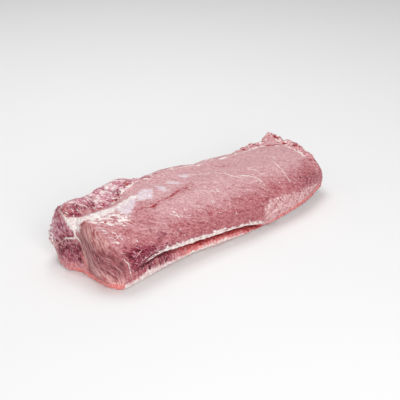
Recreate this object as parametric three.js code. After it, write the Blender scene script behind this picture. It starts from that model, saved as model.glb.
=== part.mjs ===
// A boneless pork loin: one piece of raw meat that lies on its flat trimmed underside.
// Millimetres, +Z up. X runs along the loin, from the clean cut end to the ragged far end.
// Y runs across it, from the front side, which has the loose flap, to the back.
import * as THREE from "three";

const { lerp, smoothstep, degToRad } = THREE.MathUtils;

// Driving dimensions, from the near front corner of the underside
const LENGTH = 349; // along the front side, from the cut end to the far end
const BOX_MIDDLE = [162.0, 65.2]; // middle of the loin's box

// Outline along the loin, as [distance from the cut end, size] at a few stations
const FRONT_EDGE = [[0, 0], [80, 4], [220, -2], [290, 1], [LENGTH, 19]];
const BACK_EDGE = [[0, 111], [75, 137], [114, 127], [160, 131], [260, 120], [LENGTH, 117]];
const EYE_HEIGHT = [[0, 67], [150, 66], [LENGTH, 57]];
const CREST_HEIGHT = [[0, 75], [24, 73], [60, 64], [92, 73], [120, 68], [146, 69], [200, 64], [LENGTH, 58]];
const TOE_LIFT = [[0, 1], [40, 2], [95, 5], [140, 3.5], [200, 3], [290, 8], [LENGTH, 10]];
const BACK_BULGE = 2.5; // of the back side, near the cut end
const BULGE_FADE = [10, 60];

// Plan of the cut end, as [distance from the front, how far it reaches past square], and what its foot adds
const CUT_LINE = [[-8, -3], [14, 13], [65, 18], [113, 29.5]];
const CUT_FOOT = [[-8, 3], [10, 3.5], [22, 1], [48, 2.5], [61, 1.5], [77, 7], [88, 5.5], [100, 2], [113, 0]];
const CUT_RIM = 3;
const CUT_RIM_FOOT = 0.6;
const BEVEL = { size: 9, y: 79, reach: 11, foot: 46, head: 62 };

// Muscles that swell out of the cut end, with the seams between them left low, and where the seams meet
const CUT_MUSCLES = [
  { name: "eye", y: 24, z: 32, long: 56, short: 36, lean: degToRad(50), swell: 8 },
  { name: "upper back", y: 87, z: 52, long: 38, short: 22, lean: degToRad(-32), swell: 4 },
  { name: "lower back", y: 74, z: 18, long: 40, short: 28, lean: degToRad(-14), swell: 6 },
];
const SEAM_JUNCTION = [57, 46];

// Loose flap along the foot of the front side, with the groove above it
const FLAP_THICKNESS = [[0, 17], [55, 19], [85, 13], [155, 10.5], [182, 8], [207, 3], [235, 2], [LENGTH, 2]];
const GROOVE_DEPTH = 17;
const GROOVE_GAP = 5;
const GROOVE_START = [8, 38];
const GROOVE_END = [184, 214];

// Seam valley on top, between the eye of the loin and the rough muscle behind it
const SEAM_DEPTH = 9;
const SEAM_FADE = [30, 135];

// Swells and dips on top: the crags of the rough muscle, a notch, then the torn layer round the far end
const TOP_RELIEF = [
  { x: 14, y: 101, along: 11, across: 9, rise: 2.5 },
  { x: 36, y: 88, along: 12, across: 8, rise: -3 },
  { x: 67, y: 113, along: 7, across: 10, rise: 5 },
  { x: 72, y: 96, along: 11, across: 8, rise: -3 },
  { x: 90, y: 112, along: 12, across: 10, rise: 3 },
  { x: 108, y: 92, along: 10, across: 8, rise: -2 },
  { x: 200, y: 106, along: 8, across: 10, rise: -3.5 },
  { x: 300, y: 108, along: 26, across: 9, rise: 5 },
  { x: 300, y: 90, along: 34, across: 6, rise: -3 },
  { x: 332, y: 103, along: 10, across: 9, rise: 12 },
  { x: 347, y: 89, along: 10, across: 4, rise: -1.5 },
  { x: 349, y: 73, along: 9, across: 10, rise: 4 },
  { x: 333, y: 58, along: 7, across: 24, rise: -3 },
];

// Far end
const FAR_SWELL = 6;
const FAR_RIM = 5;

// Mesh density
const STATIONS = 56;
const END_CROWDING = 0.6;
const CUT_RINGS = 10;
const FAR_RINGS = 6;

// Smooth curve through a few [place, size] stations, level past its ends.
function profile(stations, place) {
  const places = stations.map(([at]) => at);
  const sizes = stations.map(([, size]) => size);
  return new THREE.CubicInterpolant(places, sizes, 1, [0]).evaluate(place)[0];
}

const bump = (place, centre, reach) => Math.exp(-(((place - centre) / reach) ** 2));

// How open the groove is, from 0 to 1.
function grooveOpen(x) {
  return smoothstep(x, ...GROOVE_START) * (1 - smoothstep(x, ...GROOVE_END));
}

// Outline points of the section at x, as [y, z, steps to the next point], from the front of the underside
// up the front side, over the top and down the back.
function sectionPoints(x) {
  const front = profile(FRONT_EDGE, x);
  const back = profile(BACK_EDGE, x);
  const width = back - front;
  const eye = profile(EYE_HEIGHT, x);
  const shoulder = 0.77 * eye;
  const crest = profile(CREST_HEIGHT, x);
  const toe = profile(TOE_LIFT, x);
  const flap = toe + profile(FLAP_THICKNESS, x);
  const open = grooveOpen(x);
  const lip = flap + GROOVE_GAP * lerp(0.6, 1, open);
  const seam = SEAM_DEPTH * (1 - smoothstep(x, ...SEAM_FADE));
  const roof = Math.max(eye, crest);
  const bulge = BACK_BULGE * (1 - smoothstep(x, ...BULGE_FADE));
  return [
    [front + 4 + 1.6 * toe, 0, 2],
    [front, toe, 3],
    [front - 2.5, (toe + flap) / 2, 3],
    [front - 2.5 + 2 * open, flap, 4],
    [front - 2.5 + GROOVE_DEPTH * open, (flap + lip) / 2, 4],
    [front - 3, lip, 3],
    [front - 5, lerp(lip, shoulder, 0.33), 3],
    [front - 2.5, lerp(lip, shoulder, 0.66), 4],
    [front + 0.085 * width, shoulder, 4],
    [front + 0.2 * width, 0.93 * eye, 5],
    [front + 0.36 * width, eye, 5],
    [front + 0.53 * width, lerp(eye, roof, 0.6) - 0.35 * seam, 4],
    [front + 0.64 * width, roof - seam, 4],
    [front + 0.8 * width, crest, 5],
    [front + 0.93 * width, 0.8 * crest, 5],
    [back, 0.5 * crest, 3],
    [back + bulge, 0.37 * crest, 3],
    [back - 7, 0.22 * crest, 3],
    [back - 12.5, 0.09 * crest, 3],
    [back - 17, 1.5, 2],
    [back - 23, 0, 3],
    [front + 0.6 * width, 0, 3],
    [front + 0.38 * width, 0, 3],
  ];
}

// One closed section as [y, z] points, no lower than the surface that the loin lies on.
function section(x) {
  const points = sectionPoints(x);
  const outline = points.map(([y, z]) => new THREE.Vector3(y, z, 0));
  const curve = new THREE.CatmullRomCurve3(outline, true, "centripetal");
  return points.flatMap(([, , steps], i) =>
    Array.from({ length: steps }, (_, k) => {
      const point = curve.getPoint((i + k / steps) / points.length);
      return [point.x, Math.max(0, point.y)];
    }),
  );
}

// Rise of the top at a section point.
function topRelief(x, y, z) {
  const swell = (r) => r.rise * bump(x, r.x, r.along) * bump(y, r.y, r.across);
  const rise = TOP_RELIEF.map(swell).reduce((sum, part) => sum + part);
  return rise * smoothstep(z, 30, 50);
}

// How far a rounded rim of the given size draws in, at a distance from its end.
function rimInset(size, distance) {
  return size * (1 - Math.sqrt(1 - Math.max(0, 1 - distance / size) ** 2));
}

// Size of the cut end's rim at a section point: sharp at the foot, with a wide bevel above the back muscles.
function cutRim(y, z) {
  const bevel = BEVEL.size * bump(y, BEVEL.y, BEVEL.reach) * smoothstep(z, BEVEL.foot, BEVEL.head);
  return lerp(CUT_RIM_FOOT, CUT_RIM, smoothstep(z, 0, 14)) + bevel;
}

// Middle of a section, from which every point of its outline can be seen.
function sectionMiddle(points) {
  const ys = points.map(([y]) => y);
  const zs = points.map(([, z]) => z);
  return [(Math.min(...ys) + Math.max(...ys)) / 2, 0.45 * Math.max(...zs)];
}

// Where the cut end lies along X, at a distance from the front and a height.
function cutPlane(y, z) {
  return -profile(CUT_LINE, y) - profile(CUT_FOOT, y) * (1 - smoothstep(z, 0, 30));
}

// One ring of the body, at a share of its length.
function bodyRing(share) {
  const x = share * LENGTH;
  const points = section(x);
  const [middleY, middleZ] = sectionMiddle(points);
  return points.map(([y, z]) => {
    const inset = rimInset(cutRim(y, z), x) + rimInset(FAR_RIM, LENGTH - x);
    const keep = 1 - inset / Math.hypot(y - middleY, z - middleZ);
    const sideways = lerp(middleY, y, keep);
    const upward = lerp(middleZ, z, keep) + topRelief(x, y, z);
    return new THREE.Vector3(lerp(cutPlane(sideways, upward), LENGTH, share), sideways, upward);
  });
}

const ringMiddle = (ring) =>
  ring.reduce((sum, p) => sum.add(p), new THREE.Vector3()).divideScalar(ring.length);

// How far the muscles swell out of the cut end at a point of it.
function cutSwell({ y, z }) {
  const swells = CUT_MUSCLES.map((muscle) => {
    const across = y - muscle.y;
    const up = z - muscle.z;
    const along = across * Math.cos(muscle.lean) + up * Math.sin(muscle.lean);
    const aside = up * Math.cos(muscle.lean) - across * Math.sin(muscle.lean);
    return muscle.swell * Math.max(0, 1 - (along / muscle.long) ** 2 - (aside / muscle.short) ** 2) ** 2;
  });
  return Math.max(...swells);
}

// Rings that close an end from its rim to a middle point, with a rule for how far they reach along X.
function endRings(rim, middle, count, reach) {
  return Array.from({ length: count }, (_, k) => {
    const share = (k + 1) / (count + 1);
    return rim.map((p) => {
      const point = p.clone().lerp(middle, share);
      point.x = reach(point, share);
      return point;
    });
  });
}

const cutReach = (point, share) => cutPlane(point.y, point.z) - cutSwell(point) * smoothstep(share, 0, 0.3);
const farReach = (point, share) => LENGTH + FAR_SWELL * Math.sqrt(1 - (1 - share) ** 2);

// Closed mesh over rings that follow each other, with a point at each end.
function skin(rings) {
  const around = rings[0].length;
  const vertices = [ringMiddle(rings[0]), ...rings.flat(), ringMiddle(rings.at(-1))];
  const index = [];
  const at = (ring, i) => 1 + ring * around + (i % around);
  for (let i = 0; i < around; i += 1) {
    index.push(0, at(0, i), at(0, i + 1));
    for (let ring = 0; ring < rings.length - 1; ring += 1) {
      index.push(at(ring, i), at(ring + 1, i), at(ring, i + 1));
      index.push(at(ring, i + 1), at(ring + 1, i), at(ring + 1, i + 1));
    }
    index.push(vertices.length - 1, at(rings.length - 1, i + 1), at(rings.length - 1, i));
  }
  const geometry = new THREE.BufferGeometry().setFromPoints(vertices);
  geometry.setIndex(index);
  return geometry;
}

function loinGeometry() {
  const shares = Array.from({ length: STATIONS + 1 }, (_, i) => {
    const even = i / STATIONS;
    return lerp(even, smoothstep(even, 0, 1), END_CROWDING);
  });
  const body = shares.map(bodyRing);
  const junction = new THREE.Vector3(cutPlane(...SEAM_JUNCTION), ...SEAM_JUNCTION);
  const cutEnd = endRings(body[0], junction, CUT_RINGS, cutReach).reverse();
  const farEnd = endRings(body.at(-1), ringMiddle(body.at(-1)), FAR_RINGS, farReach);
  const geometry = skin([...cutEnd, ...body, ...farEnd]);
  geometry.translate(-BOX_MIDDLE[0], -BOX_MIDDLE[1], 0);
  geometry.computeVertexNormals();
  return geometry;
}

const meat = new THREE.MeshStandardMaterial({ color: 0xc98d92, roughness: 0.45, metalness: 0 });
const loin = new THREE.Mesh(loinGeometry(), meat);
loin.name = "pork_loin";

const part = new THREE.Group();
part.add(loin);

export default part;
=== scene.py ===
"""Looks of a raw boneless pork loin, made on the surface of its solid.

Places on the loin are in millimetres from the near front corner of its underside: x along the loin from
the cut end, y from the flap side to the back, z up. Meshes are in metres, in the frame's own place.

The loin is a finer copy of the solid's surface, with fine relief. Its paints are layers that say, from 0
to 1, how much of a paint each vertex has, and its material mixes their colours. Threads and loose bits
lie on that surface.
"""
import math

import bmesh
import bpy
import numpy as np
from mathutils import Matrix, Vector, noise


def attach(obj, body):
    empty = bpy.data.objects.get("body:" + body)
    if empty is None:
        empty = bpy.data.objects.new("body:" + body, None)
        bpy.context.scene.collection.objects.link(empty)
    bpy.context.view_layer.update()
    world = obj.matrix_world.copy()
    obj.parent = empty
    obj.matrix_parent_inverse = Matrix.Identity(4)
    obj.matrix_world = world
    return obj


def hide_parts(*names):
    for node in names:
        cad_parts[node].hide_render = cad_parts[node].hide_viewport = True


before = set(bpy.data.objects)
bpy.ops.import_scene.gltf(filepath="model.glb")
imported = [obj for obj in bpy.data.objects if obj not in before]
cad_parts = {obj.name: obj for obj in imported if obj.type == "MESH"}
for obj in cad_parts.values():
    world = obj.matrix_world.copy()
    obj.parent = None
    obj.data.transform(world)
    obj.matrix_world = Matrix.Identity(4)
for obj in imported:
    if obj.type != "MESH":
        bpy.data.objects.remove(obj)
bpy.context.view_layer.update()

MM = 0.001
NODE = "pork_loin"
BODY = "root"
BOX_MIDDLE = np.array([162.0, 65.2, 0.0])  # the frame's origin, from the near front corner
ONE_PLACE = 1e-6  # vertices of the solid this close, in metres, are merged
FINER_LEVELS = 2
FLAT_FOOT = 3.0  # the relief fades in over this height above the underside

# Noise: how far a seed moves it, and how much weaker and finer each octave is
SEED_STEPS = (17.3, 9.1, 5.7)
OCTAVE_FADE = 1.0
OCTAVE_FINER = 2.0
SWAY = 2.2  # how far noise pushes the edges of the paints
SWAY_SIZE = (8, 8, 8)
SWAY_SEEDS = (21, 22, 23)

# Camera of the photograph
AIM = np.array([207.1, 111.0, 0.0])
CAMERA_DISTANCE = 1060.3
CAMERA_HEIGHT_ANGLE = math.radians(26.41)
CAMERA_TURN = math.radians(42.0)
LENS_MM = 70.2
SENSOR_MM = 36.0

# Where the sides of the loin fade into each other: both ends along x, and the top along z
CUT_FADE = (30, 12)
FAR_FADE = (300, 330)
TOP_FADE = (48, 58)
GROOVE_FADES = (6, 18), (218, 206)
FLAP_END = 216
FRONT_HALF = 40  # the front's own paints stop at this y

# Ways of the fibres: top and rough muscle as (x, y), film as (x, z), the two ends as (y, z)
FIBRE_TURN = math.radians(40)
EYE_LEAN = math.radians(50)
TOP_WAY = (math.cos(FIBRE_TURN), -math.sin(FIBRE_TURN))
ROUGH_WAY = (0.6, -0.8)
FILM_WAY = (0.4, 0.9)
EYE_WAY = (math.cos(EYE_LEAN), math.sin(EYE_LEAN))
FAR_WAY = (0.8, 0.6)
EYE_WIDTH = 40
CUT_SHORTER = 1.8  # fibres of the eye and the far end look this much shorter than those of the top
CUT_FINER = 1.3
BEHIND_SHORTER = 2.0  # and those of the muscles behind the eye this much
EYE_LAYER = 300.0  # third coordinates that keep the noise of the cut muscles apart
BEHIND_LAYER = 600.0

# Ways that loose bits lie in on the flap and on its lip, as (x, y, z)
FLAP_LIE = (0.3, 0, 1)
LIP_LIE = (1, 0, 0.1)

# Cut end, as (y, z): sides and bands of the eye of the loin, seams of fat and the two muscles behind it
EYE_OUTER = [(50, 85), (21, 61), (7, 49), (-3, 36), (-4, 26), (-2, 11), (4, 2)]
EYE_INNER = [(80, 66), (68, 48), (60, 38), (54, 28), (50, 20), (46, 11), (31, 8), (18, 5), (4, 2)]
EYE_BAND = [(62, 47), (53, 41), (45, 38), (36, 33), (31, 24), (22, 19), (14, 13), (5, 7)]
EYE_STREAK = [(28, 43), (22, 36), (14, 31), (8, 23)]
EYE_TOP = [(62, 62), (51, 66), (45, 67), (34, 66), (21, 61)]
SEAM_UPPER = [(93, 71), (85, 67), (77, 63), (72, 58), (69, 52), (66, 46), (60, 41)]
SEAM_WEDGE = [(78, 66), (64, 69), (62, 58), (69, 55)]
SEAM_BACK = [(69, 45), (80, 39), (89, 33), (96, 26)]
UPPER_MUSCLE = [(69, 46), (80, 40), (96, 28), (112, 30), (112, 56), (100, 72), (92, 72), (77, 62),
                (71, 54)]
LOWER_MUSCLE = [(66, 43), (80, 38), (96, 26), (110, 24), (102, 0), (50, 0), (47, 10), (54, 28)]
WINE_MUSCLE = [(99, 19), (95, 10), (86, 5), (69, 9), (56, 13), (51, 22), (52, 34), (63, 39), (79, 37),
               (93, 28)]
WINE_CORE = [(88, 27), (75, 34), (63, 31), (56, 25)]

# White line down the lower rim between the eye and the front side, as (x, y, z)
RIM_LINE = [(-3, 0, 41), (1, -3, 32), (2, -3, 22), (5, -2, 12)]

# Top, as (x, y): fat along the seam, rough muscle behind it, silverskin, vein, and the torn far edge
FAT_BAND = [(-19, 73), (-14, 63), (-4, 58), (14, 60), (28, 62), (41, 64), (55, 68), (63, 68)]
FRINGE = [(-13, 52), (-8, 36), (2, 28), (18, 26), (30, 31), (36, 42), (30, 54), (8, 53)]
RIM_SMEAR = [(-9, 36), (-8, 28), (-7, 22), (-5, 17), (-2, 13)]
WHITE_NICKS = [(0, 21), (2, 17), (4, 23), (6, 20), (5, 14), (-7, 11), (-9, 29), (12, 44), (20, 30),
               (34, 36)]
RED_NICKS = [(-2, 17), (-1, 15), (2, 39), (10, 33), (17, 43), (19, 28), (24, 38), (25, 30), (31, 30)]
# White flecks on the top: partly fat and partly painted glints
WHITE_FLECKS = [(72, 27), (87, 21), (96, 32), (105, 17), (107, 46), (117, 21), (137, 47), (142, 14),
                (142, 5), (143, 31), (159, 23), (171, -3), (194, 1), (211, 31), (222, 22), (224, 15),
                (81, 0), (222, 2)]
BEVEL = [(-25, 96), (-7, 91), (3, 90), (10, 87), (4, 76), (-11, 70), (-17, 76), (-20, 83)]
BEVEL_LINE = [(-13, 100), (-6, 94), (3, 91), (13, 89)]
ROUGH = [(-26, 97), (-8, 95), (13, 89), (19, 80), (42, 79), (54, 85), (77, 92), (93, 97), (108, 96),
         (126, 112), (118, 145), (0, 145), (-40, 125)]
ROUGH_EDGE = [(36, 79), (54, 84), (66, 90), (77, 92), (93, 97), (108, 96), (122, 106)]
ROUGH_SWELL = [(14, 101), (30, 110)]
RED_SPOTS = [(16, 85), (25, 85), (29, 82), (35, 89), (37, 81), (51, 87), (57, 86), (76, 96), (99, 99),
             (110, 98), (122, 102)]
FAT_SPOTS = [(20, 107), (31, 107), (36, 101), (30, 97), (45, 104), (54, 108), (59, 102), (66, 93),
             (73, 90), (82, 92), (84, 104), (6, 106)]
SILVER_PATCHES = [
    [(53, 70), (66, 66), (55, 54), (39, 40), (29, 43), (29, 56)],
    [(66, 66), (80, 75), (93, 69), (79, 50), (64, 56), (56, 55)],
    [(98, 78), (108, 67), (105, 52), (98, 60)],
    [(119, 77), (131, 64), (128, 57), (116, 70)],
    [(139, 77), (152, 77), (154, 68), (141, 70)],
]
VEIN = [(43, 38), (57, 42), (69, 38), (83, 43), (91, 42), (103, 44), (114, 47), (126, 48), (136, 50)]
VEIN_SPOTS = [(69, 38), (114, 47)]
RED_STREAK = [(200, 72), (211, 66), (226, 65)]
SINEWS = [
    [(276, 50), (274, 44), (270, 25), (269, 13), (269, 4)],
    [(284, 58), (284, 50), (282, 43)],
    [(186, 60), (196, 40), (204, 28)],
    [(228, 44), (233, 37), (239, 22)],
    [(222, 27), (225, 20), (227, 15)],
    [(150, 74), (164, 66), (184, 62)],
    [(130, 38), (143, 31), (162, 23)],
    [(196, 38), (207, 33), (222, 27)],
    [(143, 96), (158, 94), (174, 94), (184, 97)],
    [(190, 97), (203, 97), (216, 94)],
    [(209, 33), (220, 26)],
]
BACK_RIM = [(126, 104), (144, 101), (158, 98), (172, 93), (189, 89), (210, 91), (233, 88)]
TORN_EDGE = [(225, 88), (248, 88), (281, 91), (305, 92), (314, 88)]
TORN_TIP = [(318, 77), (333, 72), (334, 61), (332, 49), (329, 37)]
TORN_SLIT = [(312, 88), (318, 84), (324, 76), (329, 74)]
TORN_SPOTS = [(335, 93), (336, 77), (342, 62), (300, 97), (276, 97)]

# Front side, as (x, z): edge of the lip over the groove, height of its fat, patches, edges and threads
LIP_EDGE = [(8, 22), (19, 24), (34, 26), (51, 27), (71, 24), (93, 22), (140, 19.5), (165, 18), (190, 14),
            (214, 9)]
LIP_FAT = [(24, 2), (40, 4), (60, 5.5), (115, 6.5), (145, 6), (170, 4.5), (190, 3.5), (214, 2.5)]
LIP_THREADS = [
    [(28, 25.5), (40, 27), (56, 28)],
    [(46, 27.5), (60, 27), (78, 24)],
    [(70, 25), (92, 23.5), (112, 22)],
    [(104, 23), (128, 21), (146, 20)],
    [(138, 20.5), (160, 19.5), (178, 17)],
    [(170, 18.5), (190, 15), (212, 10.5)],
    [(50, 31), (66, 31), (84, 28)],
    [(88, 27.5), (104, 27.5), (122, 25)],
]
FLAP_FAT = [(5, 7), (14, 8), (32, 13), (49, 11.5), (63, 9), (96, 9.5), (136, 9.5), (174, 6), (205, 4)]
WINE_PATCH = [(-4, 49), (14, 47), (31, 43), (50, 36), (70, 31), (40, 26), (18, 22), (0, 22)]
PATCH_THREADS = [
    [(7, 36), (15, 40), (22, 42)],
    [(15, 31), (24, 31), (37, 35), (49, 34)],
    [(22, 24), (31, 31)],
    [(33, 26), (48, 33), (60, 35)],
    [(12, 27), (20, 30), (26, 36)],
    [(40, 38), (52, 37), (66, 34)],
]
FILM = [(209, 33), (222, 38), (250, 36), (290, 32), (330, 24), (309, 19), (277, 14), (246, 8), (212, 4)]
BLOOD_EDGE = [(222, 5), (236, 7), (263, 11), (285, 13), (309, 14), (336, 15)]
RED_BLOTCHES = [(49, 47), (61, 47), (76, 46), (98, 44), (110, 44), (142, 40), (152, 34), (172, 37),
                (208, 38), (219, 40)]
DARK_END = [(268, 44), (290, 47), (319, 43), (346, 38), (346, 24), (308, 31), (279, 35)]

# Back side, as (x, z), and far end, as (y, z): seams of fat, and the muscle behind the far seam
BACK_SEAMS = [
    [(-20, 40), (30, 47), (84, 42), (130, 46), (176, 41)],
    [(150, 52), (206, 55), (262, 50), (318, 40)],
    [(70, 22), (128, 27), (184, 22), (226, 25)],
    [(226, 34), (272, 31), (312, 24)],
]
FAR_SEAM = [(84, 66), (76, 50), (78, 34), (88, 20), (104, 8)]
FAR_MUSCLE = [(84, 66), (77, 50), (79, 34), (88, 20), (120, 6), (120, 60)]


def ramp(values, start, end):
    """Smooth step, from 0 at start to 1 at end."""
    share = np.clip((values - start) / (end - start), 0, 1)
    return share * share * (3 - 2 * share)


def bell(gap, reach):
    """1 where the gap is 0, and falling off over the reach."""
    return np.exp(-((gap / reach) ** 2))


def level(stations, places):
    """Size at each place along a line of (place, size) stations."""
    at, sizes = np.asarray(stations, float).T
    return np.interp(places, at, sizes)


def line_gap(points, line):
    """Distance of each point from a line through a few places."""
    line = np.asarray(line, float)
    best = np.full(len(points), np.inf)
    for start, end in zip(line[:-1], line[1:]):
        run = end - start
        share = np.clip((points - start) @ run / (run @ run), 0, 1)
        best = np.minimum(best, np.linalg.norm(points - start - share[:, None] * run, axis=1))
    return best


def spot_gap(points, spots):
    """Distance of each point from the nearest of a few spots."""
    return np.min([np.linalg.norm(points - np.asarray(spot), axis=1) for spot in spots], axis=0)


def near_line(points, line, reach):
    """1 on a line through a few places, and falling off over the reach."""
    return bell(line_gap(points, line), reach)


def near_spots(points, spots, reach):
    """1 on each of a few spots, and falling off over the reach."""
    return bell(spot_gap(points, spots), reach)


def inside(points, outline, soft):
    """1 inside an outline and 0 outside, with a soft edge on both sides of it."""
    outline = np.asarray(outline, float)
    ends = np.roll(outline, -1, axis=0)
    within = np.zeros(len(points), bool)
    for (ax, ay), (bx, by) in zip(outline, ends):
        spans = (ay > points[:, 1]) != (by > points[:, 1])
        rise = by - ay if by != ay else 1.0
        within ^= spans & (points[:, 0] < ax + (bx - ax) * (points[:, 1] - ay) / rise)
    gap = line_gap(points, np.vstack([outline, outline[:1]]))
    return ramp(np.where(within, gap, -gap), -soft, soft)


def slanting(first, second, way):
    """Two coordinates in a plane, turned to run along a way and to the right of it."""
    return way[0] * first + way[1] * second, way[1] * first - way[0] * second


def mottle(places, size, seed, octaves=3):
    """Noise of about -1 to 1 at each place, with features of the given size along each axis."""
    shift = Vector([step * seed for step in SEED_STEPS])
    spots = places / np.asarray(size, float)
    return np.array([
        noise.fractal(Vector(spot) + shift, OCTAVE_FADE, OCTAVE_FINER, octaves) for spot in spots])


def in_frame(places):
    """Places in millimetres from the near front corner, as metres in the frame."""
    return (np.asarray(places, float) - BOX_MIDDLE) * MM


def metres(*sizes):
    """Sizes in millimetres, as metres."""
    return tuple(size * MM for size in sizes)


def new_piece(name, mesh):
    """A named object with this mesh, in the scene."""
    piece = bpy.data.objects.new(name, mesh)
    bpy.context.scene.collection.objects.link(piece)
    return piece


def plain_mesh(piece):
    """Gives a piece its evaluated shape as a plain mesh, without modifiers."""
    graph = bpy.context.evaluated_depsgraph_get()
    mesh = bpy.data.meshes.new_from_object(piece.evaluated_get(graph))
    piece.modifiers.clear()
    piece.data = mesh
    return piece


def fine_surface():
    """A finer copy of the solid's surface, with its triangles paired into quads first."""
    bm = bmesh.new()
    bm.from_mesh(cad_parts[NODE].data)
    bmesh.ops.remove_doubles(bm, verts=bm.verts, dist=ONE_PLACE)
    bmesh.ops.join_triangles(
        bm, faces=bm.faces, angle_face_threshold=math.pi, angle_shape_threshold=math.pi)
    mesh = bpy.data.meshes.new("loin")
    bm.to_mesh(mesh)
    bm.free()
    piece = new_piece("loin", mesh)
    finer = piece.modifiers.new("finer", "SUBSURF")
    finer.levels = finer.render_levels = FINER_LEVELS
    return plain_mesh(piece)


class Surface:
    """The fine surface as arrays: places, shares in the loin's sides, and paints."""

    def __init__(self, mesh):
        count = len(mesh.vertices)
        places = np.empty(count * 3)
        outward = np.empty(count * 3)
        mesh.vertices.foreach_get("co", places)
        mesh.vertex_normals.foreach_get("vector", outward)
        self.places = places.reshape(-1, 3) / MM + BOX_MIDDLE
        self.outward = outward.reshape(-1, 3)
        self.x, self.y, self.z = self.places.T

        # Places with some sway, as seen from above, from the front and from the cut end
        sway = np.stack([mottle(self.places, SWAY_SIZE, seed) for seed in SWAY_SEEDS], axis=1)
        wavy = self.places + SWAY * sway
        self.plan = wavy[:, [0, 1]]
        self.side = wavy[:, [0, 2]]
        self.end = wavy[:, [1, 2]]

        # Share of each vertex in a side, by the way it faces and where it lies. The rim is where the cut
        # end meets the body.
        nx, ny, nz = self.outward.T
        self.cut = ramp(-nx, 0.3, 0.55) * ramp(self.x, *CUT_FADE)
        self.far = ramp(nx, 0.35, 0.65) * ramp(self.x, *FAR_FADE)
        self.body = 1 - self.cut
        self.rim = 4 * self.cut * self.body
        self.front = ramp(-ny, 0.2, 0.6) * self.body
        self.back = ramp(ny, 0.1, 0.5) * (self.body * (1 - self.far))
        self.under = ramp(-nz, 0.5, 0.8)
        self.high = ramp(self.z, *TOP_FADE)

        # Groove along the front, height over the edge of its lip, and the flap under it
        near_fade, far_fade = GROOVE_FADES
        self.groove = ramp(self.x, *near_fade) * ramp(self.x, *far_fade)
        self.over_lip = self.z - level(LIP_EDGE, self.x)
        self.on_flap = (self.front > 0.3) & (self.over_lip < -3) & (self.x < FLAP_END) & (self.cut < 0.5)
        self.paints = {}

    def paint(self, name, amount):
        """Lays more of a paint on the surface, up to full."""
        old = self.paints.get(name, np.zeros(len(self.x)))
        self.paints[name] = np.clip(np.maximum(old, amount), 0, 1)

    def scrape(self, name, amount):
        """Takes away a share of a paint."""
        self.paints[name] = self.paints[name] * (1 - np.clip(amount, 0, 1))


def lay_grain(meat):
    """Places along and across the fibres: slanting on the top, along the eye, up the flap and film."""
    x, y, z = meat.x, meat.y, meat.z
    along, right = slanting(x, y + z, TOP_WAY)
    meat.grain = np.stack([along, -right, y - z], axis=1)

    end = meat.places[:, [1, 2]]
    outer = line_gap(end, EYE_OUTER)
    inner = line_gap(end, EYE_INNER)
    along, across = slanting(y, z, EYE_WAY)
    bent = 0.5 * across + 0.5 * EYE_WIDTH * outer / (outer + inner)
    bent += 1.5 * mottle(meat.places, (14, 14, 14), seed=26)
    eye = np.stack([CUT_SHORTER * along, CUT_FINER * bent, np.full(len(x), EYE_LAYER)], axis=1)
    behind = np.stack([BEHIND_SHORTER * along, across, np.full(len(x), BEHIND_LAYER)], axis=1)
    behind_eye = np.maximum(inside(end, UPPER_MUSCLE, 0.5), inside(end, LOWER_MUSCLE, 0.5)) > 0.5
    on_cut = meat.cut > 0.5
    meat.grain[on_cut] = np.where(behind_eye[:, None], behind, eye)[on_cut]

    meat.grain[meat.on_flap] = meat.places[meat.on_flap][:, [2, 0, 1]]
    along, across = slanting(x, z, FILM_WAY)
    on_film = (inside(meat.side, FILM, 1) > 0.5) & (meat.front > 0.3)
    meat.grain[on_film] = np.stack([along, across, y], axis=1)[on_film]
    along, across = slanting(y, z, FAR_WAY)
    on_far = meat.far > 0.5
    meat.grain[on_far] = np.stack([CUT_SHORTER * along, CUT_FINER * across, x], axis=1)[on_far]


def lay_strands(meat):
    """Way that loose bits lie in on each side of the loin."""
    paints = meat.paints
    meat.lie = np.tile([TOP_WAY[0], TOP_WAY[1], TOP_WAY[1]], (len(meat.x), 1))
    meat.lie[meat.cut > 0.5] = (0, -EYE_WAY[0], -EYE_WAY[1])
    meat.lie[meat.on_flap] = FLAP_LIE
    meat.lie[(paints["film"] > 0.3) & (meat.x > 210)] = (FILM_WAY[0], 0, FILM_WAY[1])
    meat.lie[paints["rough"] > 0.5] = (ROUGH_WAY[0], ROUGH_WAY[1], 0)
    meat.lie[paints["shreds"] > 0.1] = LIP_LIE


def paint_eye(meat):
    """Fibres of the eye, with its pale band, dark streak and red edges."""
    cut, end, y, z = meat.cut, meat.end, meat.y, meat.z
    ragged = mottle(meat.places, (6, 6, 6), seed=1)
    band = 0.35 + 0.55 * ramp(z, 30, 14) + 0.3 * ragged
    meat.paint("cut", cut)
    meat.paint("raw", 0.8 * near_line(end, EYE_OUTER, 5.5) * cut)
    meat.paint("wine", (0.25 + 0.5 * ragged) * near_line(end, EYE_STREAK, 9) * cut)
    meat.paint("deep", 0.4 * near_line(end, EYE_TOP, 1.6) * ramp(y, 36, 48) * cut)
    meat.paint("pale", band * near_line(end, EYE_BAND, 8) * cut)
    # Paler along the inner side of the eye: painted light over the shade of the seam valley there
    meat.paint("pale", 0.7 * near_line(end, EYE_INNER, 8) * ramp(z, 12, 22) * cut)
    meat.paint("pale", 0.55 * ramp(z, 42, 58) * ramp(y, 66, 58) * cut)
    meat.paint("streaks", 0.6 * cut * ramp(line_gap(end, EYE_OUTER), 3, 8))
    meat.paint("blood", (0.4 + 0.4 * ragged) * near_line(end, EYE_INNER, 6) * ramp(z, 36, 24) * cut)
    meat.paint("blood", (0.85 + 0.5 * ragged) * ramp(z + 3 * ragged, 13, 5) * ramp(y, 84, 60) * cut)


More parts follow.
